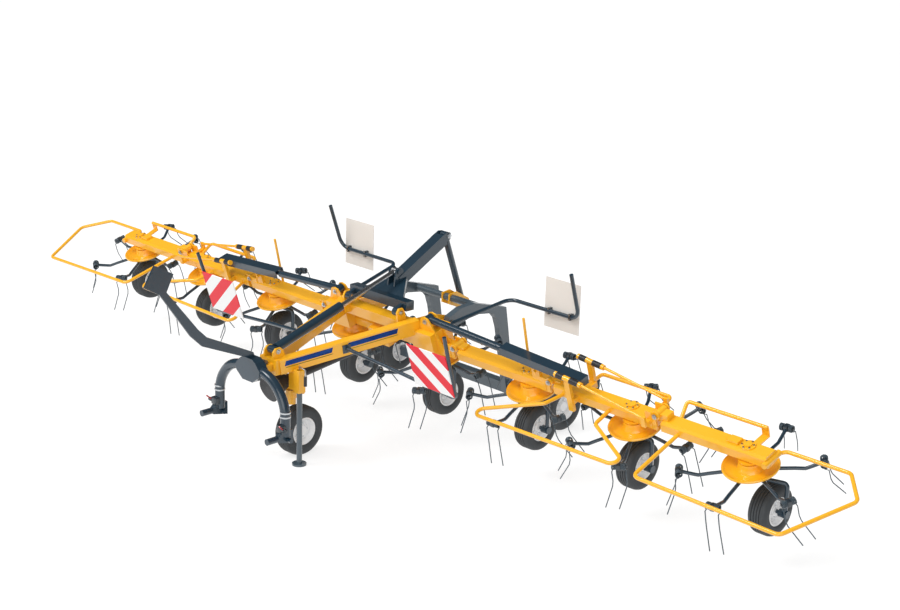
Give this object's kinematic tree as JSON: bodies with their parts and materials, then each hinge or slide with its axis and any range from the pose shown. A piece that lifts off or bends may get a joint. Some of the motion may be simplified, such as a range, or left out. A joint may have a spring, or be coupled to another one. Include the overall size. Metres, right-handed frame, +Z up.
{
  "type": "trailed rotary hay tedder",
  "caption": "Trailed rotary hay tedder, unfolded and raised on its rear wheel carriage, with hinged wing beams, tined rotors on small wheels and a swivelling headstock",
  "frame": {"origin": "on the ground, under the middle of the bounding box", "axes": "+X across the machine towards its right wing in this frame, -Y towards the tractor, +Z up"},
  "size_m": [9.131, 3.7069, 1.826],
  "materials": {
    "yellow_paint": "gloss enamel over steel",
    "slate_paint": "satin slate grey over steel",
    "navy_paint": "satin dark navy over steel",
    "tyre": "moulded tyre rubber on a white rim",
    "black_plastic": "moulded shaft guard",
    "plate_paint": "painted sheet",
    "chrome": "hard chromed rod"
  },
  "bodies": {
    "chassis": {"main_frame": "yellow_paint", "driveline": "black_plastic", "warning_boards": "plate_paint", "board_arms": "navy_paint", "marker_tubes": "navy_paint", "marker_plates": "plate_paint", "jockey_bracket": "yellow_paint", "wheel_stalk_1_right": "navy_paint", "wheel_stalk_1_left": "navy_paint"},
    "headstock": {"headstock": "slate_paint", "hose_holder": "slate_paint"},
    "jack": {"jack_leg": "slate_paint"},
    "jockey_yoke": {"jockey_yoke": "yellow_paint"},
    "jockey_wheel": {"jockey_wheel": "tyre"},
    "mast": {"mast": "yellow_paint"},
    "strut": {"strut": "navy_paint"},
    "lift_barrel": {"lift_barrel": "navy_paint"},
    "lift_rod": {"lift_rod": "chrome"},
    "carriage": {"wheel_carriage": "slate_paint", "lift_lever": "yellow_paint"},
    "carriage_wheel_right": {"carriage_wheel_right": "tyre"},
    "carriage_wheel_left": {"carriage_wheel_left": "tyre"},
    "inner_wing_right": {"inner_beam_right": "yellow_paint", "wheel_stalk_2_right": "navy_paint"},
    "middle_wing_right": {"middle_beam_right": "yellow_paint", "wheel_stalk_3_right": "navy_paint"},
    "outer_wing_right": {"outer_beam_right": "yellow_paint", "wheel_stalk_4_right": "navy_paint"},
    "fold_barrel_right": {"fold_barrel_right": "navy_paint"},
    "fold_link_right": {"fold_link_right": "navy_paint"},
    "rotor_1_right": {"rotor_1_right": "yellow_paint"},
    "rotor_wheel_1_right": {"rotor_wheel_1_right": "tyre"},
    "rotor_2_right": {"rotor_2_right": "yellow_paint"},
    "rotor_wheel_2_right": {"rotor_wheel_2_right": "tyre"},
    "rotor_3_right": {"rotor_3_right": "yellow_paint"},
    "rotor_wheel_3_right": {"rotor_wheel_3_right": "tyre"},
    "rotor_4_right": {"rotor_4_right": "yellow_paint"},
    "rotor_wheel_4_right": {"rotor_wheel_4_right": "tyre"},
    "inner_wing_left": {"inner_beam_left": "yellow_paint", "wheel_stalk_2_left": "navy_paint"},
    "middle_wing_left": {"middle_beam_left": "yellow_paint", "wheel_stalk_3_left": "navy_paint"},
    "outer_wing_left": {"outer_beam_left": "yellow_paint", "wheel_stalk_4_left": "navy_paint"},
    "fold_barrel_left": {"fold_barrel_left": "navy_paint"},
    "fold_link_left": {"fold_link_left": "navy_paint"},
    "rotor_1_left": {"rotor_1_left": "yellow_paint"},
    "rotor_wheel_1_left": {"rotor_wheel_1_left": "tyre"},
    "rotor_2_left": {"rotor_2_left": "yellow_paint"},
    "rotor_wheel_2_left": {"rotor_wheel_2_left": "tyre"},
    "rotor_3_left": {"rotor_3_left": "yellow_paint"},
    "rotor_wheel_3_left": {"rotor_wheel_3_left": "tyre"},
    "rotor_4_left": {"rotor_4_left": "yellow_paint"},
    "rotor_wheel_4_left": {"rotor_wheel_4_left": "tyre"}
  },
  "joints": [
    {"name": "headstock_swivel", "type": "hinge", "parent": "chassis", "child": "headstock", "pos_m": [0, -0.76, 0.82], "axis": [0, 0, 1], "range_deg": [-35, 35]},
    {"name": "jack_travel", "type": "slide", "parent": "chassis", "child": "jack", "axis": [0, 0, 1], "range_m": [0, 0.35]},
    {"name": "jockey_swivel", "type": "hinge", "parent": "chassis", "child": "jockey_yoke", "pos_m": [0, -0.468, 0.506], "axis": [0, 0, 1], "range_deg": [-30, 30]},
    {"name": "jockey_wheel_spin", "type": "hinge", "parent": "jockey_yoke", "child": "jockey_wheel", "pos_m": [0, -0.385, 0.205], "axis": [1, 0, 0], "continuous": true},
    {"name": "carriage_lift", "type": "hinge", "parent": "chassis", "child": "carriage", "pos_m": [0, 0.89, 0.96], "axis": [1, 0, 0], "range_deg": [-8, 24]},
    {"name": "carriage_wheel_right_spin", "type": "hinge", "parent": "carriage", "child": "carriage_wheel_right", "pos_m": [1.012, 1.643, 0.21], "axis": [1, 0, 0], "continuous": true},
    {"name": "carriage_wheel_left_spin", "type": "hinge", "parent": "carriage", "child": "carriage_wheel_left", "pos_m": [-1.012, 1.643, 0.21], "axis": [1, 0, 0], "continuous": true},
    {"name": "mast_pivot", "type": "hinge", "parent": "chassis", "child": "mast", "pos_m": [0, 0.407, 1.114], "axis": [1, 0, 0], "range_deg": [-6, 16]},
    {"name": "strut_pivot", "type": "hinge", "parent": "mast", "child": "strut", "pos_m": [0, 1.22, 1.567], "axis": [1, 0, 0], "range_deg": [-7, 4]},
    {"name": "lift_barrel_pivot", "type": "hinge", "parent": "chassis", "child": "lift_barrel", "pos_m": [0, -0.65, 0.94], "axis": [1, 0, 0], "range_deg": [-3, 5]},
    {"name": "lift_rod_travel", "type": "slide", "parent": "lift_barrel", "child": "lift_rod", "axis": [0, 0.9534, 0.3017], "range_m": [-0.05, 0.02]},
    {"name": "wing_fold_right", "type": "hinge", "parent": "chassis", "child": "inner_wing_right", "pos_m": [0.79, 0.62499, 0.91029], "axis": [0, -0.9511, -0.309], "range_deg": [0, 84]},
    {"name": "wing_float_right", "type": "hinge", "parent": "inner_wing_right", "child": "middle_wing_right", "pos_m": [1.826, 0.62499, 0.91029], "axis": [0, -0.9511, -0.309], "range_deg": [-4, 2]},
    {"name": "outer_fold_right", "type": "hinge", "parent": "middle_wing_right", "child": "outer_wing_right", "pos_m": [2.862, 0.61665, 0.93597], "axis": [0, -0.9511, -0.309], "range_deg": [-3, 171]},
    {"name": "fold_barrel_pivot_right", "type": "hinge", "parent": "chassis", "child": "fold_barrel_right", "pos_m": [0.55, 0.51854, 1.0923], "axis": [0, -0.9511, -0.309], "range_deg": [0, 80]},
    {"name": "fold_rod_travel_right", "type": "slide", "parent": "fold_barrel_right", "child": "fold_link_right", "axis": [0.9979, 0.0201, -0.0619], "range_m": [-0.43, 0]},
    {"name": "rotor_1_right_spin", "type": "hinge", "parent": "chassis", "child": "rotor_1_right", "pos_m": [0.518, 0.68, 0.741], "axis": [0, -0.309, 0.9511], "continuous": true},
    {"name": "rotor_wheel_1_right_spin", "type": "hinge", "parent": "chassis", "child": "rotor_wheel_1_right", "pos_m": [0.518, 0.738, 0.41], "axis": [1, 0, 0], "continuous": true},
    {"name": "rotor_2_right_spin", "type": "hinge", "parent": "inner_wing_right", "child": "rotor_2_right", "pos_m": [1.554, 0.68, 0.741], "axis": [0, -0.309, 0.9511], "continuous": true},
    {"name": "rotor_wheel_2_right_spin", "type": "hinge", "parent": "inner_wing_right", "child": "rotor_wheel_2_right", "pos_m": [1.554, 0.738, 0.41], "axis": [1, 0, 0], "continuous": true},
    {"name": "rotor_3_right_spin", "type": "hinge", "parent": "middle_wing_right", "child": "rotor_3_right", "pos_m": [2.59, 0.68, 0.741], "axis": [0, -0.309, 0.9511], "continuous": true},
    {"name": "rotor_wheel_3_right_spin", "type": "hinge", "parent": "middle_wing_right", "child": "rotor_wheel_3_right", "pos_m": [2.59, 0.738, 0.41], "axis": [1, 0, 0], "continuous": true},
    {"name": "rotor_4_right_spin", "type": "hinge", "parent": "outer_wing_right", "child": "rotor_4_right", "pos_m": [3.626, 0.68, 0.741], "axis": [0, -0.309, 0.9511], "continuous": true},
    {"name": "rotor_wheel_4_right_spin", "type": "hinge", "parent": "outer_wing_right", "child": "rotor_wheel_4_right", "pos_m": [3.738, 0.805, 0.41], "axis": [1, 0, 0], "continuous": true},
    {"name": "wing_fold_left", "type": "hinge", "parent": "chassis", "child": "inner_wing_left", "pos_m": [-0.79, 0.62499, 0.91029], "axis": [0, 0.9511, 0.309], "range_deg": [0, 84]},
    {"name": "wing_float_left", "type": "hinge", "parent": "inner_wing_left", "child": "middle_wing_left", "pos_m": [-1.826, 0.62499, 0.91029], "axis": [0, 0.9511, 0.309], "range_deg": [-4, 2]},
    {"name": "outer_fold_left", "type": "hinge", "parent": "middle_wing_left", "child": "outer_wing_left", "pos_m": [-2.862, 0.61665, 0.93597], "axis": [0, 0.9511, 0.309], "range_deg": [-3, 171]},
    {"name": "fold_barrel_pivot_left", "type": "hinge", "parent": "chassis", "child": "fold_barrel_left", "pos_m": [-0.55, 0.51854, 1.0923], "axis": [0, 0.9511, 0.309], "range_deg": [0, 80]},
    {"name": "fold_rod_travel_left", "type": "slide", "parent": "fold_barrel_left", "child": "fold_link_left", "axis": [-0.9979, 0.0201, -0.0619], "range_m": [-0.43, 0]},
    {"name": "rotor_1_left_spin", "type": "hinge", "parent": "chassis", "child": "rotor_1_left", "pos_m": [-0.518, 0.68, 0.741], "axis": [0, -0.309, 0.9511], "continuous": true},
    {"name": "rotor_wheel_1_left_spin", "type": "hinge", "parent": "chassis", "child": "rotor_wheel_1_left", "pos_m": [-0.518, 0.738, 0.41], "axis": [1, 0, 0], "continuous": true},
    {"name": "rotor_2_left_spin", "type": "hinge", "parent": "inner_wing_left", "child": "rotor_2_left", "pos_m": [-1.554, 0.68, 0.741], "axis": [0, -0.309, 0.9511], "continuous": true},
    {"name": "rotor_wheel_2_left_spin", "type": "hinge", "parent": "inner_wing_left", "child": "rotor_wheel_2_left", "pos_m": [-1.554, 0.738, 0.41], "axis": [1, 0, 0], "continuous": true},
    {"name": "rotor_3_left_spin", "type": "hinge", "parent": "middle_wing_left", "child": "rotor_3_left", "pos_m": [-2.59, 0.68, 0.741], "axis": [0, -0.309, 0.9511], "continuous": true},
    {"name": "rotor_wheel_3_left_spin", "type": "hinge", "parent": "middle_wing_left", "child": "rotor_wheel_3_left", "pos_m": [-2.59, 0.738, 0.41], "axis": [1, 0, 0], "continuous": true},
    {"name": "rotor_4_left_spin", "type": "hinge", "parent": "outer_wing_left", "child": "rotor_4_left", "pos_m": [-3.626, 0.68, 0.741], "axis": [0, -0.309, 0.9511], "continuous": true},
    {"name": "rotor_wheel_4_left_spin", "type": "hinge", "parent": "outer_wing_left", "child": "rotor_wheel_4_left", "pos_m": [-3.738, 0.805, 0.41], "axis": [1, 0, 0], "continuous": true}
  ],
  "couplings": [
    {"joint": "mast_pivot", "follows": "carriage_lift", "ratio": 0.585},
    {"joint": "strut_pivot", "follows": "carriage_lift", "ratio": -0.18},
    {"joint": "lift_barrel_pivot", "follows": "carriage_lift", "ratio": 0.128},
    {"joint": "lift_rod_travel", "follows": "carriage_lift", "m_per_rad": -0.105},
    {"joint": "fold_barrel_pivot_right", "follows": "wing_fold_right", "ratio": 0.9205},
    {"joint": "fold_rod_travel_right", "follows": "wing_fold_right", "m_per_rad": -0.2795},
    {"joint": "fold_barrel_pivot_left", "follows": "wing_fold_left", "ratio": 0.9205},
    {"joint": "fold_rod_travel_left", "follows": "wing_fold_left", "m_per_rad": -0.2795},
    {"joint": "rotor_4_left_spin", "follows": "rotor_1_right_spin", "ratio": 1},
    {"joint": "rotor_3_left_spin", "follows": "rotor_1_right_spin", "ratio": -1},
    {"joint": "rotor_2_left_spin", "follows": "rotor_1_right_spin", "ratio": 1},
    {"joint": "rotor_1_left_spin", "follows": "rotor_1_right_spin", "ratio": -1},
    {"joint": "rotor_2_right_spin", "follows": "rotor_1_right_spin", "ratio": -1},
    {"joint": "rotor_3_right_spin", "follows": "rotor_1_right_spin", "ratio": 1},
    {"joint": "rotor_4_right_spin", "follows": "rotor_1_right_spin", "ratio": -1}
  ]
}
